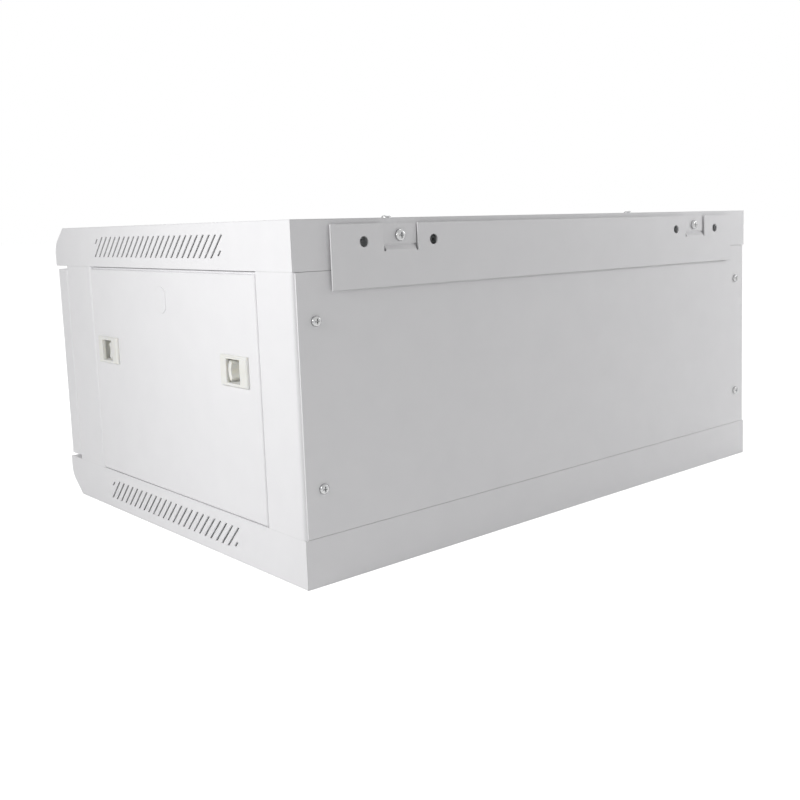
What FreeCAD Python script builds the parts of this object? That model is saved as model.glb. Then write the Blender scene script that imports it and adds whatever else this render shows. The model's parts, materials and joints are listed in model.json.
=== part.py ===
import FreeCAD, Part
import math
import os

# Wall-mounted rack cabinet of four height units, in millimetres.
# X runs to the right seen from the door, Y to the rear and Z up.
# The origin is the middle of the underside.

Vector = FreeCAD.Vector
UP = Vector(0, 0, 1)
REARWARD = Vector(0, 1, 0)

# Overall size; width and height follow from the rack between the sides and covers
depth = 450.0
unit_height = 44.45
unit_count = 4
rack_margin = 25.2
rack_hole_spacing = 465.1
side_room = 50.0

# Sheet steel
cover_sheet = 1.2
post_sheet = 1.5
back_sheet = 1.2
panel_sheet = 1.0
plate_sheet = 1.2
beam_sheet = 2.0
rail_sheet = 2.0
bracket_sheet = 1.5
bend_radius = 3.0

# Clearances
post_seam = 0.05
back_seam = 0.3
sliding_gap = 0.3
pin_clearance = 0.08
screw_clearance = 0.3

# Top and bottom covers
cover_height = 38.5
nose_slope_drop = 18.0
nose_slope_run = 23.4
nose_radius = 19.5
nose_crest_radius = 4.0
nose_corner_radius = 2.0
nose_lip = 24.0
side_lip = 22.0
rear_lip = 14.0

# Slanted vents in the side walls of the covers
vent_count = 24
vent_pitch = 10.0
vent_width = 2.7
vent_band = 19.0
vent_below_top = 19.4
vent_lean = 45.0
vent_dot_band = 4.2
vent_dot_offset = 5.5

# Fan positions in the top cover
fan_x = 110.0
fan_y = -30.0
fan_opening = 112.0
fan_slot_width = 5.0
fan_slot_pitch = 14.0
fan_slot_count = 7
fan_hole_spacing = 105.0
fan_hole_radius = 2.25

# Cable entries in both covers
entry_length = 300.0
entry_width = 60.0
entry_from_rear = 60.0
entry_plate_overlap = 10.0
entry_screw_out = 15.0
entry_plate_end = 12.0

# Screws, drawn with few sides
fastener_sides = 6
small_screw_radius = 2.0
small_head_radius = 4.2
small_head_height = 2.6
frame_screw_radius = 2.5
frame_head_radius = 4.8
frame_head_height = 3.0
screw_tip = 3.0

# Corner posts
front_post_start = 25.5
front_post_width = 59.5
rear_post_width = 52.8
post_flange = 34.0
opening_flange = 14.0

# Back panel
back_inset = 2.6
back_stiffener = 12.0
back_stiffener_end = 16.0
back_screw_from_side = 18.2
back_screw_from_seam = 37.3

# Wall bracket
bracket_from_side = 32.7
bracket_height = 49.8
bracket_below_top = 4.2
bracket_standoff = 2.2
wall_hole_radius = 4.25
wall_hole_drop = 13.9
wall_hole_clearance = 2.75
outer_hole_from_end = 30.7
inner_hole_from_end = 101.0
tongue_from_end = 67.2
tongue_width = 34.0
tongue_length = 20.8
tongue_slit = 0.4
tongue_step = 4.4
tongue_crease = 0.9
tongue_crease_height = 0.9
tongue_relief = 2.2
tongue_screw_drop = 9.8

# Rack rails
rack_hole = 9.5
rack_hole_from_edge = 7.25
rack_hole_offsets = (6.35, 22.225, 38.1)
rail_face = 24.7
rail_web = 32.0
rail_tab_reach = 30.0
rail_bolt_out = 18.0
rail_bolt_back = 16.0
rail_bolt_radius = 3.0
rail_bolt_head = 5.8
rail_bolt_head_height = 4.0
front_rail_setback = 70.0
rear_rail_setback = 70.0
rail_travel = 100.0

# Depth beams that carry the rails
beam_from_rail = 2.0
beam_from_side = 18.0
beam_leg = 7.5
beam_tab_height = 18.0
beam_screw_from_side = 26.0

# Side panels
panel_seam = 0.5
panel_top_gap = 2.4
panel_rabbet = 3.0
panel_flange_gap = 0.6
panel_depth = 12.0
panel_corner_radius = 1.5
panel_tab_spread = 90.0
panel_tab_width = 24.0
panel_tab_inset = 9.0
panel_tab_drop = 10.0
panel_tab_swing = 6.0
knockout_width = 19.0
knockout_radius = 12.0
knockout_below_edge = 25.5
knockout_forward = 5.0
knockout_proud = 0.65

# Side panel latches
latch_from_edge = 35.0
latch_above_middle = 21.0
bezel_length = 41.0
bezel_height = 25.4
bezel_proud = 3.0
bezel_edge = 1.0
latch_body_length = 36.0
latch_body_height = 22.0
latch_body_depth = 13.0
latch_wall = 1.5
window_length = 21.0
window_height = 19.6
slider_length = 22.0
slider_start = -14.0
slider_sheet = 2.5
slider_floor = 1.5
bolt_height = 10.0
bolt_setback = 0.8
ridge_start = -8.9
ridge_thickness = 4.2
ridge_radius = 14.0
ridge_height = 17.0
ridge_facets = 6
ridge_below_face = 1.0
snap_width = 8.0
snap_proud = 1.2
snap_length = 3.0

# Door
door_setback = 1.0
door_thickness = 23.3
door_sheet = 1.2
door_side_inset = 0.8
door_end_gap = 3.5
door_edge_radius = 3.0
door_lip = 10.0
door_window_side = 74.0
door_window_end = 24.0
glass_overlap = 12.0
glass_thickness = 4.0
seal_thickness = 1.2
seal_width = 10.0
clip_sheet = 1.2
clip_width = 14.0
clip_foot = 8.0
clip_finger = 9.0
clip_from_window = 46.0

# Door hinge pins
hinge_from_edge = 5.5
hinge_from_front = 11.5
hinge_pin_radius = 2.5
hinge_pin_reach = 5.0
hinge_pin_travel = 6.0
hinge_block_length = 14.0
hinge_block_height = 26.0
hinge_block_depth = 17.0
thumb_tab_height = 4.0
thumb_tab_width = 3.0
thumb_tab_reach = 4.0

# Door lock
lock_from_side = 47.0
lock_head_radius = 11.0
lock_head_height = 2.2
lock_radius = 9.0
lock_length = 25.5
lock_sides = 16
plug_radius = 6.0
plug_proud = 0.3
key_slot = 1.6
key_slot_length = 7.0
key_slot_depth = 3.0
lock_nut_radius = 13.2
lock_nut_height = 4.0
cam_thickness = 2.0
cam_width = 14.0
cam_reach = 32.0
cam_square = 7.0
cam_clip = 2.5
cam_gap = 0.8

# Places that follow from the sizes above
rack_height = unit_count * unit_height
height = rack_height + 2 * cover_height + rack_margin
rail_inner = rack_hole_spacing / 2 - rack_hole_from_edge
rail_outer = rail_inner + rail_face
half_width = rail_outer + side_room
front = -depth / 2
rear = depth / 2
middle = height / 2
cover_base = height - cover_height
entry_y = rear - entry_from_rear
entry_screw_x = entry_length / 2 + entry_screw_out
post_bottom = cover_height + post_seam
post_top = cover_base - post_seam
back_bottom = cover_height + back_seam
back_top = cover_base - back_seam
front_post_y = front + front_post_start
front_post_end = front_post_y + front_post_width
rear_post_end = rear - back_sheet
rear_post_y = rear_post_end - rear_post_width
back_screw_x = half_width - back_screw_from_side
bracket_half = half_width - bracket_from_side
wall_hole_places = (bracket_half - outer_hole_from_end, bracket_half - inner_hole_from_end)
tongue_x = bracket_half - tongue_from_end
bracket_top = height - bracket_below_top
wall_hole_z = bracket_top - wall_hole_drop
tongue_root = bracket_top - tongue_length
tongue_screw_z = bracket_top - tongue_screw_drop
rail_top = middle + rack_height / 2 + sliding_gap
rail_bolt_x = rail_outer + rail_bolt_out
front_rail_y = front + front_rail_setback
rear_rail_y = rear - rear_rail_setback
beam_inner = rail_outer + beam_from_rail
beam_outer = half_width - beam_from_side
beam_floor = rail_top + sliding_gap
beam_screw_x = half_width - beam_screw_from_side
beam_screw_z = beam_floor + beam_sheet - beam_tab_height / 2
panel_front = front_post_end + panel_seam
panel_rear = rear_post_y - panel_seam
panel_middle = (panel_front + panel_rear) / 2
panel_bottom = cover_height + panel_seam
panel_top = cover_base - panel_top_gap
panel_flange_top = cover_base - panel_flange_gap
latch_y = panel_rear - latch_from_edge
latch_z = middle + latch_above_middle
bolt_tip = latch_from_edge - bolt_setback
bolt_back = latch_body_depth - slider_floor - sliding_gap
bolt_face = bolt_back - slider_sheet
door_front = front + door_setback
door_rear = door_front + door_thickness
door_half = half_width - door_side_inset
door_bottom = cover_height + door_end_gap
door_top = cover_base - door_end_gap
window_half = half_width - door_window_side
clip_x = window_half - clip_from_window
glass_front = door_front + door_sheet + seal_thickness
hinge_x = hinge_from_edge - door_half
hinge_y = door_front + hinge_from_front
lock_x = half_width - lock_from_side
cam_front = front_post_y + post_sheet + cam_gap
small_screw = (small_screw_radius, small_head_radius, small_head_height)
frame_screw = (frame_screw_radius, frame_head_radius, frame_head_height)


# Helpers for outlines and solids

def place(plane, a, b, at):
    """The point with in-plane coordinates a and b on a plane square to the third axis."""
    if plane == "xy":
        return Vector(a, b, at)
    if plane == "yz":
        return Vector(at, a, b)
    return Vector(a, at, b)


def normal_of(plane):
    """The axis that a plane's outlines are extruded along."""
    return {"xy": Vector(0, 0, 1), "yz": Vector(1, 0, 0), "xz": Vector(0, 1, 0)}[plane]


def outline_edges(points, plane, at):
    """Straight edges and tangent arcs around corners given as (a, b) or (a, b, radius)."""
    corners = []
    count = len(points)
    for i in range(count):
        here = Vector(points[i][0], points[i][1], 0)
        radius = points[i][2] if len(points[i]) > 2 else 0.0
        if radius <= 0.0:
            corners.append((here, here, here))
            continue
        before = Vector(points[i - 1][0], points[i - 1][1], 0) - here
        after = Vector(points[(i + 1) % count][0], points[(i + 1) % count][1], 0) - here
        before.normalize()
        after.normalize()
        half_angle = before.getAngle(after) / 2
        tangent = radius / math.tan(half_angle)
        inward = before + after
        inward.normalize()
        centre = here + inward * (radius / math.sin(half_angle))
        corners.append((here + before * tangent, centre - inward * radius, here + after * tangent))
    edges = []
    for i in range(count):
        start, crown, end = (place(plane, p.x, p.y, at) for p in corners[i])
        if start.distanceToPoint(end) > 1e-6:
            edges.append(Part.Arc(start, crown, end).toShape())
        following = corners[(i + 1) % count][0]
        following = place(plane, following.x, following.y, at)
        if end.distanceToPoint(following) > 1e-6:
            edges.append(Part.LineSegment(end, following).toShape())
    return edges


def prism(points, plane, start, end):
    """A solid with the given outline, from one offset along the plane's axis to another."""
    face = Part.Face(Part.Wire(outline_edges(points, plane, start)))
    return face.extrude(normal_of(plane) * (end - start))


def block(x_range, y_range, z_range):
    """A box between the given limits."""
    lows = Vector(x_range[0], y_range[0], z_range[0])
    size = Vector(x_range[1], y_range[1], z_range[1]) - lows
    return Part.makeBox(size.x, size.y, size.z, lows)


def cylinder(radius, start, axis, length):
    """A round bar from a start point along an axis."""
    return Part.makeCylinder(radius, length, start, axis)


def moved_in(points, distance):
    """An anticlockwise outline shrunk by a sheet thickness, its round corners kept concentric."""
    shrunk = []
    count = len(points)
    for i in range(count):
        here = Vector(points[i][0], points[i][1], 0)
        into = here - Vector(points[i - 1][0], points[i - 1][1], 0)
        away = Vector(points[(i + 1) % count][0], points[(i + 1) % count][1], 0) - here
        into.normalize()
        away.normalize()
        left_into = Vector(-into.y, into.x, 0)
        left_away = Vector(-away.y, away.x, 0)
        step = (left_into + left_away) * (distance / (1 + left_into.dot(left_away)))
        radius = points[i][2] if len(points[i]) > 2 else 0.0
        shrunk.append((here.x + step.x, here.y + step.y, max(radius - distance, 0.0)))
    return shrunk


def folded(points, sheet, radius):
    """The outline of a sheet folded along a line of points, its thickness on the left of the line."""
    outer = []
    inner = []
    last = len(points) - 1
    for i, (a, b) in enumerate(points):
        here = Vector(a, b, 0)
        before = Vector(*points[max(i - 1, 0)], 0)
        after = Vector(*points[min(i + 1, last)], 0)
        into = here - before if i > 0 else after - here
        away = after - here if i < last else here - before
        into.normalize()
        away.normalize()
        left_into = Vector(-into.y, into.x, 0)
        left_away = Vector(-away.y, away.x, 0)
        step = (left_into + left_away) * (sheet / (1 + left_into.dot(left_away)))
        bend = radius if 0 < i < last else 0.0
        outer.append((a, b, bend))
        inner.append((a + step.x, b + step.y, max(bend - sheet, 0.0)))
    return outer + inner[::-1]


def mirrored_x(shape):
    """The same piece on the other side of the cabinet."""
    return shape.mirror(Vector(0, 0, 0), Vector(1, 0, 0))


def mirrored_z(shape):
    """The same piece upside down about mid height."""
    return shape.mirror(Vector(0, 0, middle), UP)


def turned_over(shape):
    """The same piece turned half a turn about the line that runs front to rear at mid height."""
    copy = shape.copy()
    copy.rotate(Vector(0, 0, middle), REARWARD, 180)
    return copy


def one_solid(shape):
    """The piece with the seams between coplanar faces removed."""
    return shape.removeSplitter()


def regular_bar(radius, sides, start, axis, length):
    """A bar with a regular section whose corners lie on the given radius."""
    turns = [math.radians(360 * (i + 0.5) / sides) for i in range(sides)]
    points = [(radius * math.cos(turn), radius * math.sin(turn)) for turn in turns]
    bar = prism(points, "xy", 0, length)
    bar.Placement = FreeCAD.Placement(start, FreeCAD.Rotation(UP, axis))
    return bar


def screw(head_at, into, size, length):
    """A screw whose head sits on a face at the given point, its shank going in."""
    shank_radius, head_radius, head_height = size
    shank = regular_bar(shank_radius, fastener_sides, head_at, into, length)
    head = regular_bar(head_radius, fastener_sides, head_at, into * -1, head_height)
    return one_solid(shank.fuse(head))


def screw_hole(size, start, axis, length):
    """The clearance hole for a screw."""
    return regular_bar(size[0] + screw_clearance, fastener_sides, start, axis, length)


# Covers

def cover_outline():
    """The top cover's side view: upright rear, rounded and sloping nose in front."""
    return [
        (rear, cover_base),
        (rear, height),
        (front + nose_slope_run, height, nose_crest_radius),
        (front, height - nose_slope_drop, nose_radius),
        (front, cover_base, nose_corner_radius),
    ]


def vent_slot(y_middle, z_middle, band):
    """A slanted slot with level ends, cut right through the right side wall."""
    run = band / 2 * math.tan(math.radians(vent_lean))
    half = vent_width / 2
    points = [
        (y_middle - run - half, z_middle - band / 2),
        (y_middle - run + half, z_middle - band / 2),
        (y_middle + run + half, z_middle + band / 2),
        (y_middle + run - half, z_middle + band / 2),
    ]
    return prism(points, "yz", half_width - 2 * cover_sheet, half_width + cover_sheet)


def vents():
    """Both side walls' slots; the left wall has the right wall's pattern turned half a turn."""
    z_middle = height - vent_below_top
    first = -(vent_count - 1) / 2 * vent_pitch
    slots = [vent_slot(first + i * vent_pitch, z_middle, vent_band) for i in range(vent_count)]
    dot_y = first - vent_pitch + vent_dot_offset * math.tan(math.radians(vent_lean))
    slots.append(vent_slot(dot_y, z_middle + vent_dot_offset, vent_dot_band))
    slots.append(vent_slot(-dot_y, z_middle - vent_dot_offset, vent_dot_band))
    left = Part.makeCompound(slots)
    left.rotate(Vector(0, 0, 0), UP, 180)
    return slots + left.Solids


def fan_slots():
    """Two round fields of straight slots, each with the four screw holes of a fan."""
    cuts = []
    z_range = (height - 2 * cover_sheet, height + cover_sheet)
    for side in (-1, 1):
        for i in range(fan_slot_count):
            offset = (i - (fan_slot_count - 1) / 2) * fan_slot_pitch
            half_chord = math.sqrt((fan_opening / 2) ** 2 - offset ** 2)
            x_low = side * fan_x + offset - fan_slot_width / 2
            y_range = (fan_y - half_chord, fan_y + half_chord)
            cuts.append(block((x_low, x_low + fan_slot_width), y_range, z_range))
        for dx in (-1, 1):
            for dy in (-1, 1):
                x = side * fan_x + dx * fan_hole_spacing / 2
                y = fan_y + dy * fan_hole_spacing / 2
                start = Vector(x, y, z_range[0])
                cuts.append(regular_bar(fan_hole_radius, fastener_sides, start, UP, 3 * cover_sheet))
    return cuts


def post_screw_places():
    """Where one screw holds each right-hand post to a cover lip."""
    x = half_width - side_lip / 2
    return [(x, (front_post_y + front_post_end) / 2), (x, (rear_post_y + rear_post_end) / 2)]


def cover_shell():
    """The pressed tray that both covers share, as the top cover."""
    outline = cover_outline()
    shell = prism(outline, "yz", -half_width, half_width)
    hollow = prism(moved_in(outline, cover_sheet), "yz", -half_width + cover_sheet, half_width - cover_sheet)
    mouth = block(
        (-half_width + side_lip, half_width - side_lip),
        (front + nose_lip, rear - rear_lip),
        (cover_base - cover_sheet, cover_base + 2 * cover_sheet),
    )
    entry = block(
        (-entry_length / 2, entry_length / 2),
        (entry_y - entry_width / 2, entry_y + entry_width / 2),
        (height - 2 * cover_sheet, height + cover_sheet),
    )
    holes = []
    for side in (-1, 1):
        for x, y in post_screw_places():
            start = Vector(side * x, y, cover_base - cover_sheet)
            holes.append(screw_hole(frame_screw, start, UP, 3 * cover_sheet))
        start = Vector(side * entry_screw_x, entry_y, height - 2 * cover_sheet)
        holes.append(screw_hole(small_screw, start, UP, 3 * cover_sheet))
    return shell.cut([hollow, mouth, entry] + holes + vents())


def hinge_hole(lip_z):
    """The hole in a cover's nose lip that a hinge pin turns in."""
    start = Vector(hinge_x, hinge_y, lip_z - 2 * cover_sheet)
    return cylinder(hinge_pin_radius + pin_clearance, start, UP, 4 * cover_sheet)


def top_cover():
    """The cover with fan slots in its roof, and the bracket's screw and wall holes in its rear wall."""
    cuts = fan_slots() + [hinge_hole(cover_base)]
    y_start = rear - 2 * cover_sheet
    wall_hole = wall_hole_radius + wall_hole_clearance
    for side in (-1, 1):
        start = Vector(side * tongue_x, y_start, tongue_screw_z)
        cuts.append(screw_hole(frame_screw, start, REARWARD, 3 * cover_sheet))
        for x in wall_hole_places:
            start = Vector(side * x, y_start, wall_hole_z)
            cuts.append(regular_bar(wall_hole, fastener_sides, start, REARWARD, 3 * cover_sheet))
    return one_solid(cover_shell().cut(cuts))


def bottom_cover():
    """The same tray upside down, with slots in its lips for the side panels' tabs."""
    cuts = [hinge_hole(cover_height)]
    tab_outer = half_width - panel_tab_inset
    half_slot = panel_tab_width / 2 + panel_seam
    for spread in (-panel_tab_spread, panel_tab_spread):
        y_middle = panel_middle + spread
        slot = block(
            (tab_outer - panel_sheet - panel_tab_swing, tab_outer + panel_sheet),
            (y_middle - half_slot, y_middle + half_slot),
            (cover_height - 2 * cover_sheet, cover_height + cover_sheet),
        )
        cuts += [slot, mirrored_x(slot)]
    return one_solid(turned_over(cover_shell()).cut(cuts))


def entry_plate():
    """The plate under the roof that closes the top cable entry."""
    half_x = entry_screw_x + entry_plate_end
    half_y = entry_width / 2 + entry_plate_overlap
    z_top = height - cover_sheet
    plate = block((-half_x, half_x), (entry_y - half_y, entry_y + half_y), (z_top - plate_sheet, z_top))
    holes = []
    for side in (-1, 1):
        start = Vector(side * entry_screw_x, entry_y, z_top - 2 * plate_sheet)
        holes.append(screw_hole(small_screw, start, UP, 3 * plate_sheet))
    return plate.cut(holes)


def top_entry_screws():
    """Two screws from above."""
    length = cover_sheet + plate_sheet + screw_tip
    places = [Vector(side * entry_screw_x, entry_y, height) for side in (-1, 1)]
    return [screw(head_at, UP * -1, small_screw, length) for head_at in places]


def bottom_entry_screws():
    """Two screws from inside, so that the underside stays flat."""
    seat = cover_sheet + plate_sheet
    places = [Vector(side * entry_screw_x, entry_y, seat) for side in (-1, 1)]
    return [screw(head_at, UP * -1, small_screw, seat) for head_at in places]


# Corner posts and the screws that hold the covers to them

def post(fold_line, y_range, beam_face_y):
    """A right-hand folded post with a screw tab at each end and holes for the beams' screws."""
    body = prism(folded(fold_line, post_sheet, bend_radius), "xy", post_bottom, post_top)
    x_tab = half_width - side_lip
    x_bend = half_width - bend_radius
    tab_outline = [
        (x_tab, y_range[0]),
        (x_bend, y_range[0]),
        (half_width, y_range[0] + bend_radius),
        (half_width, y_range[1] - bend_radius),
        (x_bend, y_range[1]),
        (x_tab, y_range[1]),
    ]
    high_tab = prism(tab_outline, "xy", post_top - post_sheet, post_top)
    body = body.fuse([high_tab, mirrored_z(high_tab)])
    cuts = []
    start = Vector(half_width - side_lip / 2, sum(y_range) / 2, post_bottom - post_sheet)
    cuts.append(screw_hole(frame_screw, start, UP, post_top - post_bottom + 2 * post_sheet))
    start = Vector(beam_screw_x, beam_face_y - 2 * post_sheet, beam_screw_z)
    beam_hole = screw_hole(frame_screw, start, REARWARD, 4 * post_sheet)
    cuts += [beam_hole, mirrored_z(beam_hole)]
    return body.cut(cuts)


def bolt_slot(y_flange):
    """The slot in a flange that a latch bolt passes through."""
    room = 2 * sliding_gap
    half = bolt_height / 2 + room
    return block(
        (half_width - bolt_back - room, half_width - bolt_face + room),
        (y_flange - 2 * post_sheet, y_flange + 2 * post_sheet),
        (latch_z - half, latch_z + half),
    )


def front_post():
    """The right front post: door face, outer face and opening flange."""
    line = [
        (half_width - post_flange, front_post_y),
        (half_width, front_post_y),
        (half_width, front_post_end),
        (half_width - opening_flange, front_post_end),
    ]
    body = post(line, (front_post_y, front_post_end), front_post_y)
    return one_solid(body.cut(bolt_slot(front_post_end)))


def rear_post():
    """The right rear post: opening flange, outer face and the flange that the back panel lies on."""
    line = [
        (half_width - opening_flange, rear_post_y),
        (half_width, rear_post_y),
        (half_width, rear_post_end),
        (half_width - post_flange, rear_post_end),
    ]
    body = post(line, (rear_post_y, rear_post_end), rear_post_end)
    holes = [bolt_slot(rear_post_y)]
    for x, z in back_screw_places():
        start = Vector(x, rear_post_end - 2 * post_sheet, z)
        holes.append(screw_hole(small_screw, start, REARWARD, 3 * post_sheet))
    return one_solid(body.cut(holes))


def cover_screws():
    """One screw at each end of each post, from inside the post into the cover's lip."""
    length = post_sheet + post_seam + cover_sheet + screw_tip
    seat = post_top - post_sheet
    high = [screw(Vector(x, y, seat), UP, frame_screw, length) for x, y in post_screw_places()]
    right = high + [mirrored_z(piece) for piece in high]
    return right + [mirrored_x(piece) for piece in right]


# Back panel and wall bracket

def back_screw_places():
    """The four screws near the back panel's corners."""
    rows = (cover_height + back_screw_from_seam, cover_base - back_screw_from_seam)
    return [(side * back_screw_x, z) for side in (-1, 1) for z in rows]


def back_panel():
    """A flat sheet with stiffening folds along its top and bottom edges."""
    half = half_width - back_inset
    sheet = block((-half, half), (rear - back_sheet, rear), (back_bottom, back_top))
    fold_half = half_width - post_flange - back_stiffener_end
    y_range = (rear - back_stiffener, rear - back_sheet)
    low = block((-fold_half, fold_half), y_range, (back_bottom, back_bottom + back_sheet))
    holes = []
    for x, z in back_screw_places():
        start = Vector(x, rear - 2 * back_sheet, z)
        holes.append(screw_hole(small_screw, start, REARWARD, 3 * back_sheet))
    return one_solid(sheet.fuse([low, mirrored_z(low)]).cut(holes))


def back_screws():
    """Screws through the back panel into the rear posts."""
    length = back_sheet + post_sheet + screw_tip
    places = [Vector(x, rear, z) for x, z in back_screw_places()]
    return [screw(head_at, REARWARD * -1, small_screw, length) for head_at in places]


def wall_bracket():
    """A plate that stands off the cabinet on two stepped tongues, with holes for wall fixings."""
    plate_back = rear + bracket_standoff
    z_low = bracket_top - bracket_height
    y_range = (plate_back, plate_back + bracket_sheet)
    plate = block((-bracket_half, bracket_half), y_range, (z_low, bracket_top))
    cuts = []
    tongues = []
    for side in (-1, 1):
        cuts += tongue_cuts(side * tongue_x, plate_back)
        tongues.append(tongue(side * tongue_x, plate_back))
        for x in wall_hole_places:
            start = Vector(side * x, plate_back - bracket_sheet, wall_hole_z)
            cuts.append(cylinder(wall_hole_radius, start, REARWARD, 3 * bracket_sheet))
    return one_solid(plate.cut(cuts).fuse(tongues))


def tongue_cuts(x_middle, plate_back):
    """The space around one tongue: narrow slits open at the top, and a relief at each end of its step."""
    y_range = (plate_back - bracket_sheet, plate_back + 2 * bracket_sheet)
    edge = tongue_width / 2 + tongue_slit
    cuts = [block((x_middle - edge, x_middle + edge), y_range, (tongue_root, height))]
    z_range = (tongue_root - tongue_relief / 2, tongue_root + tongue_relief / 2)
    for x_low in (x_middle - edge, x_middle + edge - tongue_relief):
        cuts.append(block((x_low, x_low + tongue_relief), y_range, z_range))
    return cuts


def tongue(x_middle, plate_back):
    """One tongue: rooted in the plate, stepped back past a crease to lie on the cover's rear wall."""
    y_range = (rear, rear + bracket_sheet)
    step_top = tongue_root + tongue_step
    crease_low = step_top - tongue_crease_height
    crease_y = rear + bracket_sheet - tongue_crease
    half = tongue_width / 2
    step_half = half + tongue_slit - tongue_relief
    step_view = [
        (plate_back, tongue_root),
        (plate_back + bracket_sheet, tongue_root),
        (crease_y, crease_low),
        (crease_y, step_top),
        (rear, step_top),
        (rear, crease_low),
    ]
    step = prism(step_view, "yz", x_middle - step_half, x_middle + step_half)
    flat = block((x_middle - half, x_middle + half), y_range, (step_top, bracket_top))
    start = Vector(x_middle, rear - bracket_sheet, tongue_screw_z)
    return flat.fuse(step).cut(screw_hole(frame_screw, start, REARWARD, 3 * bracket_sheet))


def bracket_screws():
    """One screw through each tongue into the top cover."""
    length = bracket_sheet + cover_sheet + screw_tip
    places = [Vector(side * tongue_x, rear + bracket_sheet, tongue_screw_z) for side in (-1, 1)]
    return [screw(head_at, REARWARD * -1, frame_screw, length) for head_at in places]


# Depth beams and rack rails

def depth_beam():
    """The upper right beam: a floor with two long slots, an upright leg and a screw tab at each end."""
    y_start = front_post_y + post_sheet
    y_end = rear_post_end - post_sheet
    floor_top = beam_floor + beam_sheet
    floor = block((beam_inner, beam_outer), (y_start, y_end), (beam_floor, floor_top))
    leg = block((beam_outer - beam_sheet, beam_outer), (y_start, y_end), (beam_floor, beam_floor + beam_leg))
    tab_z = (floor_top - beam_tab_height, floor_top)
    tabs = [
        block((beam_inner, beam_outer), (y_start, y_start + beam_sheet), tab_z),
        block((beam_inner, beam_outer), (y_end - beam_sheet, y_end), tab_z),
    ]
    half_slot = rail_bolt_radius + sliding_gap
    front_bolt_y = front_rail_y + rail_bolt_back
    front_slot = block(
        (rail_bolt_x - half_slot, rail_bolt_x + half_slot),
        (front_bolt_y - half_slot, front_bolt_y + rail_travel + half_slot),
        (beam_floor - beam_sheet, floor_top + beam_sheet),
    )
    start = Vector(beam_screw_x, y_start - beam_sheet, beam_screw_z)
    screw_holes = screw_hole(frame_screw, start, REARWARD, y_end - y_start + 2 * beam_sheet)
    return one_solid(floor.fuse([leg] + tabs).cut([front_slot, as_rear(front_slot), screw_holes]))


def beam_screws():
    """One screw at each end of each beam, from inside into the posts."""
    length = beam_sheet + post_sheet
    y_front = front_post_y + length
    y_rear = rear_post_end - length
    right = []
    for y, into in ((y_front, REARWARD * -1), (y_rear, REARWARD)):
        high = screw(Vector(beam_screw_x, y, beam_screw_z), into, frame_screw, length)
        right += [high, mirrored_z(high)]
    return right + [mirrored_x(piece) for piece in right]


def front_rail():
    """The right front rail: an angle with square holes, and a tab at each end under the beams."""
    line = [
        (rail_inner, front_rail_y),
        (rail_outer, front_rail_y),
        (rail_outer, front_rail_y + rail_web),
    ]
    body = prism(folded(line, rail_sheet, 0.0), "xy", height - rail_top, rail_top)
    tab_y = (front_rail_y + rail_sheet, front_rail_y + rail_web)
    tab_x = (rail_outer - rail_sheet, rail_outer + rail_tab_reach)
    high_tab = block(tab_x, tab_y, (rail_top - rail_sheet, rail_top))
    body = body.fuse([high_tab, mirrored_z(high_tab)])
    cuts = []
    x_range = ((rack_hole_spacing - rack_hole) / 2, (rack_hole_spacing + rack_hole) / 2)
    y_range = (front_rail_y - rail_sheet, front_rail_y + 2 * rail_sheet)
    for unit in range(unit_count):
        for offset in rack_hole_offsets:
            z = middle - rack_height / 2 + unit * unit_height + offset
            cuts.append(block(x_range, y_range, (z - rack_hole / 2, z + rack_hole / 2)))
    start = Vector(rail_bolt_x, front_rail_y + rail_bolt_back, 0)
    cuts.append(regular_bar(rail_bolt_radius + sliding_gap, fastener_sides, start, UP, height))
    return one_solid(body.cut(cuts))


def front_rail_bolts():
    """A bolt and nut at each end of the right front rail, clamping its tabs to the beams."""
    axis = Vector(rail_bolt_x, front_rail_y + rail_bolt_back, 0)
    head_seat = beam_floor + beam_sheet + sliding_gap
    nut_bottom = rail_top - rail_sheet - rail_bolt_head_height
    shank = regular_bar(rail_bolt_radius, fastener_sides, axis + UP * nut_bottom, UP, head_seat - nut_bottom)
    head = regular_bar(rail_bolt_head, fastener_sides, axis + UP * head_seat, UP, rail_bolt_head_height)
    nut = regular_bar(rail_bolt_head, fastener_sides, axis + UP * nut_bottom, UP, rail_bolt_head_height)
    bolt = one_solid(shank.fuse([head, nut]))
    return [bolt, mirrored_z(bolt)]


def as_rear(shape):
    """A front rail piece turned to face the rear, in the rear rails' place."""
    return shape.mirror(Vector(0, (front_rail_y + rear_rail_y) / 2, 0), REARWARD)


# Side panels and their latches

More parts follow.
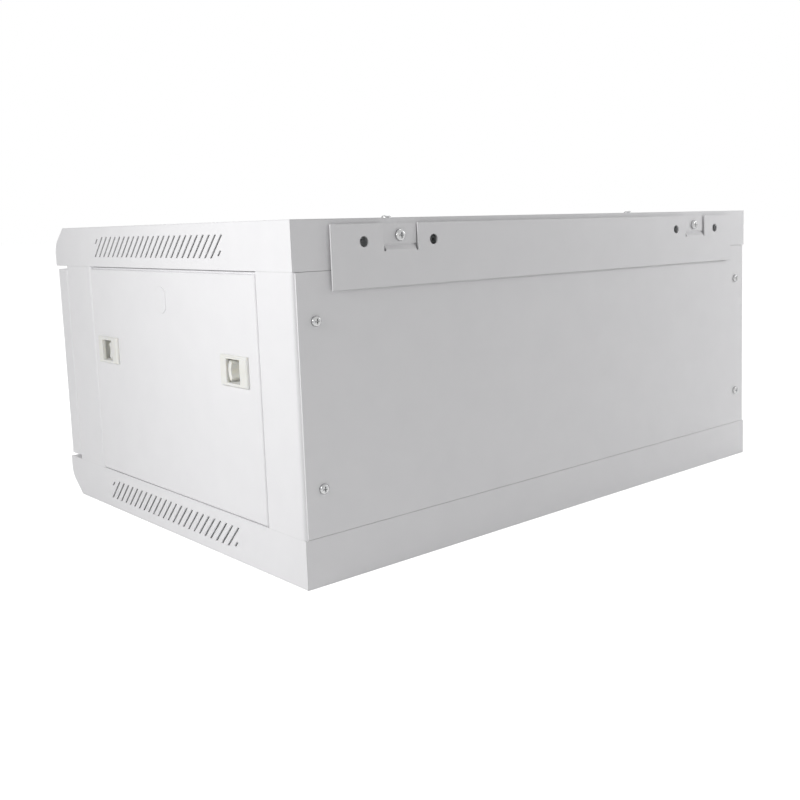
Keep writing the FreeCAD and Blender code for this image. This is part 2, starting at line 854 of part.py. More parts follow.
def side_panel():
    """The right side panel: a shallow tray stepped back along its top, with tabs below and two latch cut-outs."""
    y_range = (panel_front, panel_rear)
    shell = block((half_width - panel_depth, half_width), y_range, (panel_bottom, panel_top))
    shell = shell.makeFillet(panel_corner_radius, edges_at(shell, "X", half_width))
    rabbet = half_width - panel_rabbet
    flange = block((half_width - panel_depth, rabbet), y_range, (panel_top - panel_sheet, panel_flange_top))
    inner_y = (panel_front + panel_sheet, panel_rear - panel_sheet)
    inner_x = half_width - 2 * panel_depth
    hollow = block(
        (inner_x, half_width - panel_sheet), inner_y,
        (panel_bottom + panel_sheet, panel_top - panel_sheet),
    )
    flange_hollow = block(
        (inner_x, rabbet - panel_sheet), inner_y,
        (panel_bottom + panel_sheet, panel_flange_top - panel_sheet),
    )
    extras = [knockout()]
    tab_outer = half_width - panel_tab_inset
    for spread in (-panel_tab_spread, panel_tab_spread):
        y_middle = panel_middle + spread
        extras.append(block(
            (tab_outer - panel_sheet, tab_outer),
            (y_middle - panel_tab_width / 2, y_middle + panel_tab_width / 2),
            (panel_bottom - panel_tab_drop, panel_bottom + panel_sheet),
        ))
    half_length = latch_body_length / 2 + sliding_gap
    half_height = latch_body_height / 2 + sliding_gap
    through = (-2 * panel_sheet, panel_sheet)
    rear_hole = latch_block((-half_length, half_length), (-half_height, half_height), through)
    rear_slot = bolt_slot(panel_rear)
    cuts = [rear_hole, rear_slot, at_front(rear_hole), at_front(rear_slot)]
    return one_solid(shell.fuse(flange).cut([hollow, flange_hollow]).fuse(extras).cut(cuts))


def edges_at(shape, axis, value):
    """The edges that lie wholly in a plane square to the given axis."""
    found = []
    for edge in shape.Edges:
        box = edge.BoundBox
        low = getattr(box, axis + "Min")
        high = getattr(box, axis + "Max")
        if abs(low - value) < 1e-6 and abs(high - value) < 1e-6:
            found.append(edge)
    return found


def knockout():
    """The half-sheared blank for a cam lock, a disc with two flats standing slightly proud of the side panel."""
    x_range = (half_width - panel_sheet / 2, half_width + knockout_proud)
    y_middle = panel_middle - knockout_forward
    z_middle = panel_top - knockout_below_edge
    start = Vector(x_range[0], y_middle, z_middle)
    disc = cylinder(knockout_radius, start, Vector(1, 0, 0), x_range[1] - x_range[0])
    flats = block(
        x_range,
        (y_middle - knockout_width / 2, y_middle + knockout_width / 2),
        (z_middle - knockout_radius, z_middle + knockout_radius),
    )
    return disc.common(flats)


def latch_block(along, up, out):
    """A box in the right rear latch's place: along the panel, up, and out from the panel's face."""
    return block(
        (half_width + out[0], half_width + out[1]),
        (latch_y + along[0], latch_y + along[1]),
        (latch_z + up[0], latch_z + up[1]),
    )


def latch_housing():
    """The moulded housing of the right rear latch: bezel, hollow body, finger window and snap ribs."""
    half_bezel = bezel_length / 2
    bezel = latch_block((-half_bezel, half_bezel), (-bezel_height / 2, bezel_height / 2), (0, bezel_proud))
    bezel = bezel.makeChamfer(bezel_edge, edges_at(bezel, "X", half_width + bezel_proud))
    half_length = latch_body_length / 2
    half_height = latch_body_height / 2
    body = latch_block((-half_length, half_length), (-half_height, half_height), (-latch_body_depth, 0))
    inner_length = half_length - latch_wall
    inner_height = half_height - latch_wall
    hollow = latch_block(
        (-inner_length, inner_length),
        (-inner_height, inner_height),
        (slider_floor - latch_body_depth, 0),
    )
    half_window = window_length / 2
    window = latch_block(
        (-half_window, half_window),
        (-window_height / 2, window_height / 2),
        (-latch_wall, 2 * bezel_proud),
    )
    half_bolt = bolt_height / 2 + sliding_gap
    bolt_exit = latch_block(
        (inner_length - latch_wall, half_length + latch_wall),
        (-half_bolt, half_bolt),
        (-bolt_back - sliding_gap, sliding_gap - bolt_face),
    )
    ribs = [snap_rib(), snap_rib().mirror(Vector(0, 0, latch_z), UP)]
    return one_solid(bezel.fuse([body] + ribs).cut([hollow, window, bolt_exit]))


def snap_rib():
    """The wedge above the latch's body that snaps in behind the panel sheet."""
    root = latch_z + latch_body_height / 2
    face = half_width - panel_sheet - sliding_gap
    wedge = [(face, root), (face, root + sliding_gap + snap_proud), (face - snap_length, root)]
    return prism(wedge, "xz", latch_y - snap_width / 2, latch_y + snap_width / 2)


def latch_slider():
    """The right rear latch's slider: a plate with a bevelled bolt and a curved finger ridge."""
    half_height = latch_body_height / 2 - latch_wall - sliding_gap
    plate_end = slider_start + slider_length
    plate = latch_block((slider_start, plate_end), (-half_height, half_height), (-bolt_back, -bolt_face))
    x_back = half_width - bolt_back
    x_face = half_width - bolt_face
    y_tip = latch_y + bolt_tip
    plan = [
        (x_back, latch_y),
        (x_face, latch_y),
        (x_face, y_tip),
        (x_face - slider_sheet / 2, y_tip),
        (x_back, y_tip - slider_sheet / 2),
    ]
    bolt = prism(plan, "xy", latch_z - bolt_height / 2, latch_z + bolt_height / 2)
    return one_solid(plate.fuse([bolt, finger_ridge(x_face)]))


def finger_ridge(x_low):
    """A curved wall standing on the slider, bowed towards the middle of the panel."""
    x_high = half_width + bezel_proud - ridge_below_face
    y_centre = latch_y + ridge_start + ridge_radius
    inner_radius = ridge_radius - ridge_thickness
    half_turn = math.asin(ridge_height / 2 / ridge_radius)
    turns = [half_turn * (2 * i / ridge_facets - 1) for i in range(ridge_facets + 1)]
    outer = [(y_centre - ridge_radius * math.cos(t), latch_z + ridge_radius * math.sin(t)) for t in turns]
    inner = [(y_centre - inner_radius * math.cos(t), latch_z + inner_radius * math.sin(t)) for t in turns]
    return prism(outer + inner[::-1], "yz", x_low, x_high)


def at_front(shape):
    """A rear latch piece turned to face the front edge of its panel."""
    return shape.mirror(Vector(0, panel_middle, 0), REARWARD)


# Door, hinge pins and lock

def door_frame():
    """The pressed door frame: rounded upright edges, returns all round, rear lips and a glass window."""
    plan = [
        (-door_half, door_front, door_edge_radius),
        (door_half, door_front, door_edge_radius),
        (door_half, door_rear, door_edge_radius),
        (-door_half, door_rear, door_edge_radius),
    ]
    shell = prism(plan, "xy", door_bottom, door_top)
    inner_x = door_half - door_sheet
    sheet_back = door_front + door_sheet
    hollow = block(
        (-inner_x, inner_x),
        (sheet_back, door_rear - door_sheet),
        (door_bottom + door_sheet, door_top - door_sheet),
    )
    lip_x = door_half - door_lip
    y_mouth = (door_rear - 2 * door_sheet, door_rear + door_sheet)
    mouth = block((-lip_x, lip_x), y_mouth, (door_bottom + door_lip, door_top - door_lip))
    window = window_ring(0.0, (door_front - door_sheet, sheet_back + door_sheet))
    start = Vector(lock_x, door_front - door_sheet, middle)
    lock_hole = regular_bar(lock_radius + screw_clearance, lock_sides, start, REARWARD, 3 * door_sheet)
    start = Vector(hinge_x, hinge_y, door_bottom - door_sheet)
    pin_holes = cylinder(hinge_pin_radius + pin_clearance, start, UP, door_top - door_bottom + 2 * door_sheet)
    return one_solid(shell.cut([hollow, mouth, window, lock_hole, pin_holes]))


def window_ring(grow, y_range):
    """A rectangular bar the size of the door window grown by a margin."""
    return block(
        (-window_half - grow, window_half + grow), y_range,
        (door_bottom + door_window_end - grow, door_top - door_window_end + grow),
    )


def door_glass():
    """The glass pane behind the window."""
    return window_ring(glass_overlap, (glass_front, glass_front + glass_thickness))


def glass_seal():
    """The flat seal between the frame and the glass."""
    y_range = (door_front + door_sheet, glass_front)
    gap = glass_overlap - seal_width
    return window_ring(glass_overlap, y_range).cut(window_ring(gap, y_range))


def glass_clips():
    """Stepped clips above and below the glass that hold it against the seal."""
    glass_top = door_top - door_window_end + glass_overlap
    sheet_back = door_front + door_sheet
    glass_back = glass_front + glass_thickness
    riser = glass_top + sliding_gap
    side_view = [
        (sheet_back, riser + clip_foot),
        (sheet_back, riser),
        (glass_back, riser),
        (glass_back, glass_top - clip_finger),
        (glass_back + clip_sheet, glass_top - clip_finger),
        (glass_back + clip_sheet, riser + clip_sheet),
        (sheet_back + clip_sheet, riser + clip_sheet),
        (sheet_back + clip_sheet, riser + clip_foot),
    ]
    half = clip_width / 2
    high = [prism(side_view, "yz", x - half, x + half) for x in (-clip_x, 0.0, clip_x)]
    return high + [mirrored_z(clip) for clip in high]


def hinge_block():
    """The upper guide block inside the door's hinge corner, slotted for the pin's thumb tab."""
    x_start = door_sheet - door_half
    x_end = x_start + hinge_block_length
    y_start = door_front + door_sheet
    z_end = door_top - door_sheet
    z_start = z_end - hinge_block_height
    body = block((x_start, x_end), (y_start, y_start + hinge_block_depth), (z_start, z_end))
    start = Vector(hinge_x, hinge_y, z_start - hinge_pin_radius)
    bore = cylinder(hinge_pin_radius + pin_clearance, start, UP, hinge_block_height + 2 * hinge_pin_radius)
    half_slot = thumb_tab_width / 2 + sliding_gap
    tab_low, tab_high = thumb_tab_range()
    slot = block(
        (hinge_x, x_end + thumb_tab_reach),
        (hinge_y - half_slot, hinge_y + half_slot),
        (tab_low - hinge_pin_travel - sliding_gap, tab_high + sliding_gap),
    )
    return one_solid(body.cut([bore, slot]))


def thumb_tab_range():
    """The thumb tab's lowest and highest point with the pin out."""
    z_middle = door_top - door_sheet - (hinge_block_height - hinge_pin_travel) / 2
    return z_middle - thumb_tab_height / 2, z_middle + thumb_tab_height / 2


def hinge_pin():
    """The upper hinge pin, standing in the top cover's nose lip, with its thumb tab."""
    z_start = door_top - door_sheet - hinge_block_height + hinge_pin_travel
    z_end = cover_base + hinge_pin_reach
    shaft = cylinder(hinge_pin_radius, Vector(hinge_x, hinge_y, z_start), UP, z_end - z_start)
    tab_end = door_sheet - door_half + hinge_block_length + thumb_tab_reach
    half = thumb_tab_width / 2
    tab = block((hinge_x, tab_end), (hinge_y - half, hinge_y + half), thumb_tab_range())
    return one_solid(shaft.fuse(tab))


def lock_body():
    """The lock's many-sided barrel and head, bored for the plug."""
    face = door_front - lock_head_height
    head = regular_bar(lock_head_radius, lock_sides, Vector(lock_x, face, middle), REARWARD, lock_head_height)
    barrel = regular_bar(lock_radius, lock_sides, Vector(lock_x, door_front, middle), REARWARD, lock_length)
    bore = cylinder(plug_radius + pin_clearance, Vector(lock_x, face, middle), REARWARD, 2 * lock_length)
    return one_solid(head.fuse(barrel).cut(bore))


def lock_nut():
    """The flat nut that clamps the lock in the door sheet."""
    start = Vector(lock_x, door_front + door_sheet, middle)
    nut = regular_bar(lock_nut_radius, fastener_sides, start, REARWARD, lock_nut_height)
    return nut.cut(regular_bar(lock_radius + screw_clearance, lock_sides, start, REARWARD, lock_nut_height))


def lock_plug():
    """The turning plug: key slot in front, square tail behind for the cam."""
    face = door_front - lock_head_height - plug_proud
    body = cylinder(plug_radius, Vector(lock_x, face, middle), REARWARD, cam_front - face)
    half = cam_square / 2
    tail = block(
        (lock_x - half, lock_x + half),
        (cam_front, cam_front + cam_thickness),
        (middle - half, middle + half),
    )
    slot = block(
        (lock_x - key_slot / 2, lock_x + key_slot / 2),
        (face - key_slot_depth, face + key_slot_depth),
        (middle - key_slot_length / 2, middle + key_slot_length / 2),
    )
    return one_solid(body.fuse(tail).cut(slot))


def lock_cam():
    """The cam, hanging straight down when the door is free to open."""
    half = cam_width / 2
    outline = [
        (lock_x - half + cam_clip, middle - cam_reach),
        (lock_x + half - cam_clip, middle - cam_reach),
        (lock_x + half, middle - cam_reach + cam_clip),
        (lock_x + half, middle + half, half),
        (lock_x - half, middle + half, half),
        (lock_x - half, middle - cam_reach + cam_clip),
    ]
    hole = cam_square / 2 + pin_clearance
    y_range = (cam_front - cam_thickness, cam_front + 2 * cam_thickness)
    square = block((lock_x - hole, lock_x + hole), y_range, (middle - hole, middle + hole))
    return prism(outline, "xz", cam_front, cam_front + cam_thickness).cut(square)


def sided(name, right_piece):
    """A right-hand piece and its mirror image, named by side."""
    return {name.format("right"): right_piece, name.format("left"): mirrored_x(right_piece)}


def group(solids):
    """Identical fasteners that share one name."""
    return Part.makeCompound(solids)


def all_pieces():
    """Every piece by name."""
    pieces = {
        "top_cover": top_cover(),
        "bottom_cover": bottom_cover(),
        "cover_screws": group(cover_screws()),
        "top_entry_plate": entry_plate(),
        "top_entry_screws": group(top_entry_screws()),
        "bottom_entry_plate": turned_over(entry_plate()),
        "bottom_entry_screws": group(bottom_entry_screws()),
        "back_panel": back_panel(),
        "back_panel_screws": group(back_screws()),
        "wall_bracket": wall_bracket(),
        "wall_bracket_screws": group(bracket_screws()),
        "beam_screws": group(beam_screws()),
        "door_frame": door_frame(),
        "door_glass": door_glass(),
        "glass_seal": glass_seal(),
        "glass_clips": group(glass_clips()),
        "upper_hinge_block": hinge_block(),
        "lower_hinge_block": mirrored_z(hinge_block()),
        "upper_hinge_pin": hinge_pin(),
        "lower_hinge_pin": mirrored_z(hinge_pin()),
        "lock_body": lock_body(),
        "lock_nut": lock_nut(),
        "lock_plug": lock_plug(),
        "lock_cam": lock_cam(),
    }
    pieces.update(sided("{}_front_post", front_post()))
    pieces.update(sided("{}_rear_post", rear_post()))
    pieces.update(sided("{}_upper_beam", depth_beam()))
    pieces.update(sided("{}_lower_beam", mirrored_z(depth_beam())))
    bolts = front_rail_bolts()
    pieces.update(sided("{}_front_rail", front_rail()))
    pieces.update(sided("{}_rear_rail", as_rear(front_rail())))
    pieces.update(sided("{}_front_rail_bolts", group(bolts)))
    pieces.update(sided("{}_rear_rail_bolts", group([as_rear(b) for b in bolts])))
    pieces.update(sided("{}_side_panel", side_panel()))
    pieces.update(sided("{}_rear_latch_housing", latch_housing()))
    pieces.update(sided("{}_front_latch_housing", at_front(latch_housing())))
    pieces.update(sided("{}_rear_latch_slider", latch_slider()))
    pieces.update(sided("{}_front_latch_slider", at_front(latch_slider())))
    return pieces


os.makedirs("parts", exist_ok=True)
for name, shape in all_pieces().items():
    shape.exportStep("parts/" + name + ".step")
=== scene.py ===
import json
import math

import bmesh
import bpy
from mathutils import Matrix, Vector


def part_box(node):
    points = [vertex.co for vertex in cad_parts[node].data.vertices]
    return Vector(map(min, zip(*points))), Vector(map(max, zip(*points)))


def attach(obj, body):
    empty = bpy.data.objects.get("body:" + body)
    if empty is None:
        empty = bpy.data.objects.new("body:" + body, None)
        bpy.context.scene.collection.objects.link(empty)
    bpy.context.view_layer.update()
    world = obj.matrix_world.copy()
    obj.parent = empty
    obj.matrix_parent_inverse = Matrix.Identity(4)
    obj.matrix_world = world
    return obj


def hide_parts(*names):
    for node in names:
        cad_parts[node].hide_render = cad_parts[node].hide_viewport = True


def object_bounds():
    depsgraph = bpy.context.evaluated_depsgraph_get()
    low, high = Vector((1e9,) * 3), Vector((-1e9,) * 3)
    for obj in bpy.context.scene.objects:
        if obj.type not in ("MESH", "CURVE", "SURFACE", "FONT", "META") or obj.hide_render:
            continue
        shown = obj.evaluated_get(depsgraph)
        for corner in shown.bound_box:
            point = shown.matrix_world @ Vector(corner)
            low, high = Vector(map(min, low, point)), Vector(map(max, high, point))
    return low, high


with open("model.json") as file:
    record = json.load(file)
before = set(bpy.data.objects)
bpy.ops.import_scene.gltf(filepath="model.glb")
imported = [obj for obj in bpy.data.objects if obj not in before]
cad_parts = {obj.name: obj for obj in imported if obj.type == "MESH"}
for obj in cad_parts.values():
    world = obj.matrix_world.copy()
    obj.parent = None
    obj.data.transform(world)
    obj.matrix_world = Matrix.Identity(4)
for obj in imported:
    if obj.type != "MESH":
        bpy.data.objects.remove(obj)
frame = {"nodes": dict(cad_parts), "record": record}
cad_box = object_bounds()
middle_height = (cad_box[0].z + cad_box[1].z) / 2
cover_low, cover_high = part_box("bottom_cover")
cover_height = cover_high.z - cover_low.z
nodes = frame["nodes"]
scene = bpy.context.scene
scene.view_settings.view_transform = "Standard"

# Axes by number: X runs to the right seen from the door, Y to the rear and Z up; lengths are in metres
axis_y = 1
axis_z = 2

# Photograph in pixels, sensor in millimetres, camera's turn in degrees
photo_size = 800
focal_px = 1005.16
centre_px = (496.86, 344.16)
sensor_width = 36.0
camera_place = (0.70320, 0.85733, 0.27316)
camera_turn = (83.1414, 1.5472, 135.9162)
view_reach = 200.0

# Lights: place, aim, width, height, power in watts
lights = {
    "side": ((0.78, 0.206, 0.42), (0.30, 0.14, 0.20), 0.28, 0.06, 1.54),
    "rear": ((-0.62, 0.60, 0.44), (-0.30, 0.228, 0.22), 0.40, 0.20, 0.95),
    "roof": ((-0.5, -0.3, 1.8), (-0.1, 0.0, 0.28), 0.8, 0.8, 5.6),
    "front": ((-1.5, -1.5, 0.8), (-0.1, -0.1, 0.14), 1.2, 1.0, 9.6),
}

# Background and floor
white = (1.0, 1.0, 1.0, 1.0)
ambient_strength = 0.378
floor_half = 30.0
floor_level = -0.0002
floor_colour = (0.92, 0.92, 0.92, 1.0)
floor_roughness = 0.9
floor_glow = 0.75

# Colours: each material's darkest and palest
coat_colours = ((0.889, 0.885, 0.898), (0.907, 0.903, 0.915))
# Grey mixed in near edges: wear on outer edges, painted shade in inner creases
worn_and_shaded_coat = (0.72, 0.72, 0.72)
zinc_colours = ((0.40, 0.405, 0.415), (0.54, 0.54, 0.535))
galvanised_colours = ((0.50, 0.51, 0.52), (0.64, 0.65, 0.66))
latch_colours = ((0.85, 0.846, 0.80), (0.885, 0.88, 0.835))
glass_colours = ((0.86, 0.92, 0.89), (0.90, 0.95, 0.92))
rubber_colours = ((0.018, 0.018, 0.018), (0.05, 0.05, 0.05))
chrome_colours = ((0.48, 0.49, 0.50), (0.60, 0.60, 0.61))
block_colours = ((0.02, 0.02, 0.021), (0.045, 0.045, 0.046))

# Radii over which edges look round, and over which edges take wear and painted shade
cut_edge = 0.0003
fold_edge = 0.0015
wear_and_shade_radius = 0.0009
zinc_edge = 0.0003
galvanised_edge = 0.0004
latch_edge = 0.0006
chrome_edge = 0.0003
block_edge = 0.0005

# Stretch of a cover, from its mouth, over which cut edges give way to round folds
fold_fade = (0.003, 0.008)

# Samples of a rounded edge, and the angle in degrees past which an edge of a made piece stays sharp
edge_samples = 6
sharp_angle = 32

# Points round a ring
ring_sides = 32
hex_sides = 24
lock_sides = 48

# Threads: rows of points for each turn and for the two ends, depth and pitch in radii
thread_rows = 4
run_in_rows = 2
run_out_rows = 3
thread_depth = 0.14
thread_pitch = 0.34

# Pan-head screws: tip, neck and both ends of the thread, as shares of the shank's radius
screw_tip = 0.55
screw_neck = 0.9
screw_thread_start = 0.3
screw_thread_stop = 0.2

# Outline of a pan head, as shares of its radius and height
pan_outline = ((0.96, 0.0), (1.0, 0.05), (1.0, 0.4), (0.955, 0.64), (0.86, 0.83), (0.74, 0.95), (0.63, 1.0))

# Cross recess: arm and half width in head radii, depth in head heights, floor as a share of the mouth
recess_arm = 0.54
recess_half_width = 0.115
recess_depth = 0.6
recess_floor = 0.45

# Hexagons: distance of the flats as a share of the corners' radius, slope of chamfered corners
hex_flat = math.cos(math.pi / 6)
hex_chamfer = math.tan(math.pi / 6)

# Rail bolts: their end, as shares of the shank's radius
bolt_tip = 0.6
bolt_end = 0.9
bolt_end_length = 0.15

# Rail bolts' nuts and heads: round faces as shares of the flats' distance, levels as shares of the height
bolt_nut_face = 0.94
bolt_nut_face_level = 0.1
bolt_nut_corner_level = 0.12
bolt_head_face = 0.93
bolt_head_corner_level = 0.96

# Lock's head: bevel as shares of the head's radius and depths in metres
lock_bevel = ((0.82, 0.0), (0.93, 0.0004), (1.0, 0.0013))
lock_bore_chamfer_depth = 0.0004
lock_bore_chamfer_width = 0.0005

# Lock's barrel: neck and end as shares of its radius, distances of the thread from head and end in metres
lock_neck = 0.9
lock_barrel_end = 0.82
lock_thread_start = 0.0003
lock_thread_stop = 0.0006

# Lock's nut: round face as a share of the flats' distance, corners as a share of its depth
lock_nut_face = 0.95
lock_nut_corner_depth = 0.12

# Lock's clearances
lock_plug_gap = 0.00008
lock_nut_gap = 0.0001

# Reading the lock from its CAD mesh: share of the head's radius that is its rim, step from head to barrel
lock_rim = 0.97
lock_level_step = 0.0001

# Reading fasteners from the CAD meshes: welding distance, decimals kept, levels of a bolt with a nut
weld_distance = 1e-6
middle_decimals = 4
level_decimals = 5
bolt_levels = 4


# Camera

def add_camera():
    """The photograph's camera: a plain lens with the frame's centre shifted."""
    data = bpy.data.cameras.new("camera")
    data.sensor_width = sensor_width
    data.lens = focal_px / photo_size * sensor_width
    data.shift_x = (photo_size / 2 - centre_px[0]) / photo_size
    data.shift_y = (centre_px[1] - photo_size / 2) / photo_size
    data.clip_end = view_reach
    camera = bpy.data.objects.new("camera", data)
    camera.location = camera_place
    camera.rotation_euler = [math.radians(angle) for angle in camera_turn]
    scene.collection.objects.link(camera)
    scene.camera = camera


# Materials

class Shader:
    """A material with one principled shader and short ways to add nodes to it."""

    def __init__(self, name):
        self.material = bpy.data.materials.new(name)
        self.material.use_nodes = True
        self.tree = self.material.node_tree
        self.bsdf = self.tree.nodes["Principled BSDF"]
        self.coords = self.tree.nodes.new("ShaderNodeTexCoord").outputs["Object"]

    def set(self, **values):
        """Constants on the shader's own sockets."""
        for name, value in values.items():
            self.bsdf.inputs[name.replace("_", " ")].default_value = value

    def feed(self, **outputs):
        """Node outputs into the shader's own sockets."""
        for name, output in outputs.items():
            self.join(output, self.bsdf.inputs[name.replace("_", " ")])

    def add(self, kind, **values):
        """A new node with its properties set."""
        node = self.tree.nodes.new(kind)
        for name, value in values.items():
            setattr(node, name, value)
        return node

    def join(self, source, socket):
        """A number set on a socket, or a node output linked to it."""
        if isinstance(source, float):
            socket.default_value = source
        else:
            self.tree.links.new(source, socket)

    def maths(self, operation, *sources):
        """One step of arithmetic on numbers or node outputs."""
        node = self.add("ShaderNodeMath", operation=operation)
        for source, socket in zip(sources, node.inputs):
            self.join(source, socket)
        return node.outputs["Value"]

    def noise(self, scale, detail=2.0, stretch=None):
        """Noise in the object's own coordinates, in metres."""
        node = self.add("ShaderNodeTexNoise")
        node.inputs["Scale"].default_value = scale
        node.inputs["Detail"].default_value = detail
        source = self.coords
        if stretch:
            mapping = self.add("ShaderNodeMapping")
            mapping.inputs["Scale"].default_value = stretch
            self.join(source, mapping.inputs["Vector"])
            source = mapping.outputs["Vector"]
        self.join(source, node.inputs["Vector"])
        return node.outputs["Fac"]

    def cells(self, scale):
        """One random value per cell."""
        node = self.add("ShaderNodeTexVoronoi")
        node.inputs["Scale"].default_value = scale
        self.join(self.coords, node.inputs["Vector"])
        return node.outputs["Color"]

    def spread(self, value, low=0.0, high=1.0, start=0.3, end=0.7):
        """A value between start and end, where most noise lies, taken to the range from low to high."""
        node = self.add("ShaderNodeMapRange")
        node.inputs["From Min"].default_value = start
        node.inputs["From Max"].default_value = end
        node.inputs["To Min"].default_value = low
        node.inputs["To Max"].default_value = high
        self.join(value, node.inputs["Value"])
        return node.outputs["Result"]

    def tint(self, factor, first, second):
        """A colour between two colours; the first may come from another node."""
        node = self.add("ShaderNodeMix", data_type="RGBA")
        low, high = [socket for socket in node.inputs if socket.type == "RGBA"]
        if isinstance(first, tuple):
            low.default_value = (*first, 1.0)
        else:
            self.join(first, low)
        high.default_value = (*second, 1.0)
        self.join(factor, node.inputs["Factor"])
        return [socket for socket in node.outputs if socket.type == "RGBA"][0]

    def bump(self, height, distance, strength, normal=None):
        """A bumped normal, on top of another one where it is given."""
        node = self.add("ShaderNodeBump")
        node.inputs["Distance"].default_value = distance
        node.inputs["Strength"].default_value = strength
        self.join(height, node.inputs["Height"])
        if normal:
            self.join(normal, node.inputs["Normal"])
        return node.outputs["Normal"]

    def soft_edges(self, radius):
        """Normals rounded over edges, by a fixed radius or one from another node."""
        node = self.add("ShaderNodeBevel", samples=edge_samples)
        self.join(radius, node.inputs["Radius"])
        return node.outputs["Normal"]

    def edge_mask(self, radius):
        """One near an outer or inner edge, nought on flat faces."""
        flat = self.add("ShaderNodeNewGeometry")
        dot = self.add("ShaderNodeVectorMath", operation="DOT_PRODUCT")
        self.join(self.soft_edges(radius), dot.inputs[0])
        self.join(flat.outputs["Normal"], dot.inputs[1])
        return self.spread(dot.outputs["Value"], low=1.0, high=0.0, start=0.9, end=0.999)


def powder_coat():
    """Off-white powder coat for cut and flat sheet."""
    shader = Shader("powder_coat")
    coat_sheet(shader, cut_edge)
    return shader.material


def powder_coat_folded():
    """The same coat on the covers, whose folds are round at the outside and sharp at the mouth."""
    shader = Shader("powder_coat_folded")
    split = shader.add("ShaderNodeSeparateXYZ")
    shader.join(shader.coords, split.inputs["Vector"])
    from_middle = shader.maths("ABSOLUTE", shader.maths("SUBTRACT", split.outputs["Z"], middle_height))
    start, end = (middle_height - cover_height + distance for distance in fold_fade)
    coat_sheet(shader, shader.spread(from_middle, cut_edge, fold_edge, start, end))
    return shader.material


def coat_sheet(shader, edge_radius):
    """Fine orange peel, faint mottling, thinner over the outer edges, with painted shade in the inner
    creases.
    """
    mottle = shader.spread(shader.noise(scale=38.0, detail=4.0))
    patches = shader.spread(shader.noise(scale=160.0, detail=3.0), low=0.05, high=0.3)
    # Grey in patches near edges: wear on outer edges, painted shade in inner creases
    edge_wear_and_shade = shader.maths("MULTIPLY", shader.edge_mask(wear_and_shade_radius), patches)
    peel = shader.noise(scale=1300.0)
    shader.feed(
        Base_Color=shader.tint(edge_wear_and_shade, shader.tint(mottle, *coat_colours), worn_and_shaded_coat),
        Roughness=shader.spread(shader.noise(scale=420.0, detail=3.0), low=0.40, high=0.54),
        Normal=shader.bump(peel, distance=0.0002, strength=0.35, normal=shader.soft_edges(edge_radius)),
    )
    shader.set(Specular_IOR_Level=0.4)


def zinc_plate():
    """Bright zinc on fasteners: bluish grey with cloudy roughness."""
    shader = Shader("zinc_plate")
    cloud = shader.spread(shader.noise(scale=320.0, detail=4.0))
    grain = shader.noise(scale=2600.0)
    shader.feed(
        Base_Color=shader.tint(cloud, *zinc_colours),
        Roughness=shader.spread(shader.noise(scale=900.0, detail=3.0), low=0.20, high=0.36),
        Normal=shader.bump(grain, distance=0.0001, strength=0.2, normal=shader.soft_edges(zinc_edge)),
    )
    shader.set(Metallic=1.0)
    return shader.material


def galvanised_sheet():
    """Galvanised rails and beams: spangled zinc with rolling lines along the length."""
    shader = Shader("galvanised_sheet")
    spangle = shader.cells(scale=170.0)
    lines = shader.noise(scale=700.0, stretch=(1.0, 0.08, 0.4))
    edges = shader.soft_edges(galvanised_edge)
    shader.feed(
        Base_Color=shader.tint(shader.spread(spangle, start=0.0, end=1.0), *galvanised_colours),
        Roughness=shader.spread(spangle, low=0.30, high=0.46, start=0.0, end=1.0),
        Normal=shader.bump(lines, distance=0.0001, strength=0.25, normal=edges),
    )
    shader.set(Metallic=1.0)
    return shader.material


def latch_plastic():
    """Cream moulded plastic with a fine spark-eroded texture."""
    shader = Shader("latch_plastic")
    cloud = shader.spread(shader.noise(scale=90.0, detail=3.0))
    grain = shader.noise(scale=3200.0)
    shader.feed(
        Base_Color=shader.tint(cloud, *latch_colours),
        Roughness=shader.spread(shader.noise(scale=700.0, detail=3.0), low=0.38, high=0.52),
        Normal=shader.bump(grain, distance=0.00012, strength=0.3, normal=shader.soft_edges(latch_edge)),
    )
    shader.set(Specular_IOR_Level=0.45)
    shader.set(Subsurface_Weight=0.5, Subsurface_Scale=0.004, Subsurface_Radius=(1.0, 0.95, 0.8))
    return shader.material


def door_glass():
    """Clear toughened glass with a slight green cast and faint smudges."""
    shader = Shader("door_glass")
    smudge = shader.noise(scale=22.0, detail=5.0)
    shader.feed(
        Base_Color=shader.tint(smudge, *glass_colours),
        Roughness=shader.spread(smudge, low=0.0, high=0.05, start=0.45, end=0.75),
    )
    shader.set(Transmission_Weight=1.0, IOR=1.45)
    return shader.material


def seal_rubber():
    """Matt black foam rubber."""
    shader = Shader("seal_rubber")
    pores = shader.noise(scale=1800.0, detail=4.0)
    shader.feed(
        Base_Color=shader.tint(shader.spread(pores), *rubber_colours),
        Roughness=shader.spread(pores, low=0.7, high=0.9),
        Normal=shader.bump(pores, distance=0.0003, strength=0.6),
    )
    return shader.material


def lock_chrome():
    """Satin chrome with fine wipe marks."""
    shader = Shader("lock_chrome")
    wipes = shader.noise(scale=500.0, detail=3.0, stretch=(1.0, 1.0, 0.1))
    shader.feed(
        Base_Color=shader.tint(wipes, *chrome_colours),
        Roughness=shader.spread(wipes, low=0.16, high=0.30),
        Normal=shader.soft_edges(chrome_edge),
    )
    shader.set(Metallic=1.0)
    return shader.material


def block_plastic():
    """Black moulded plastic of the hinge blocks."""
    shader = Shader("block_plastic")
    grain = shader.noise(scale=1500.0, detail=3.0)
    shader.feed(
        Base_Color=shader.tint(shader.spread(grain), *block_colours),
        Roughness=shader.spread(grain, low=0.4, high=0.6),
        Normal=shader.bump(grain, distance=0.0001, strength=0.4, normal=shader.soft_edges(block_edge)),
    )
    return shader.material


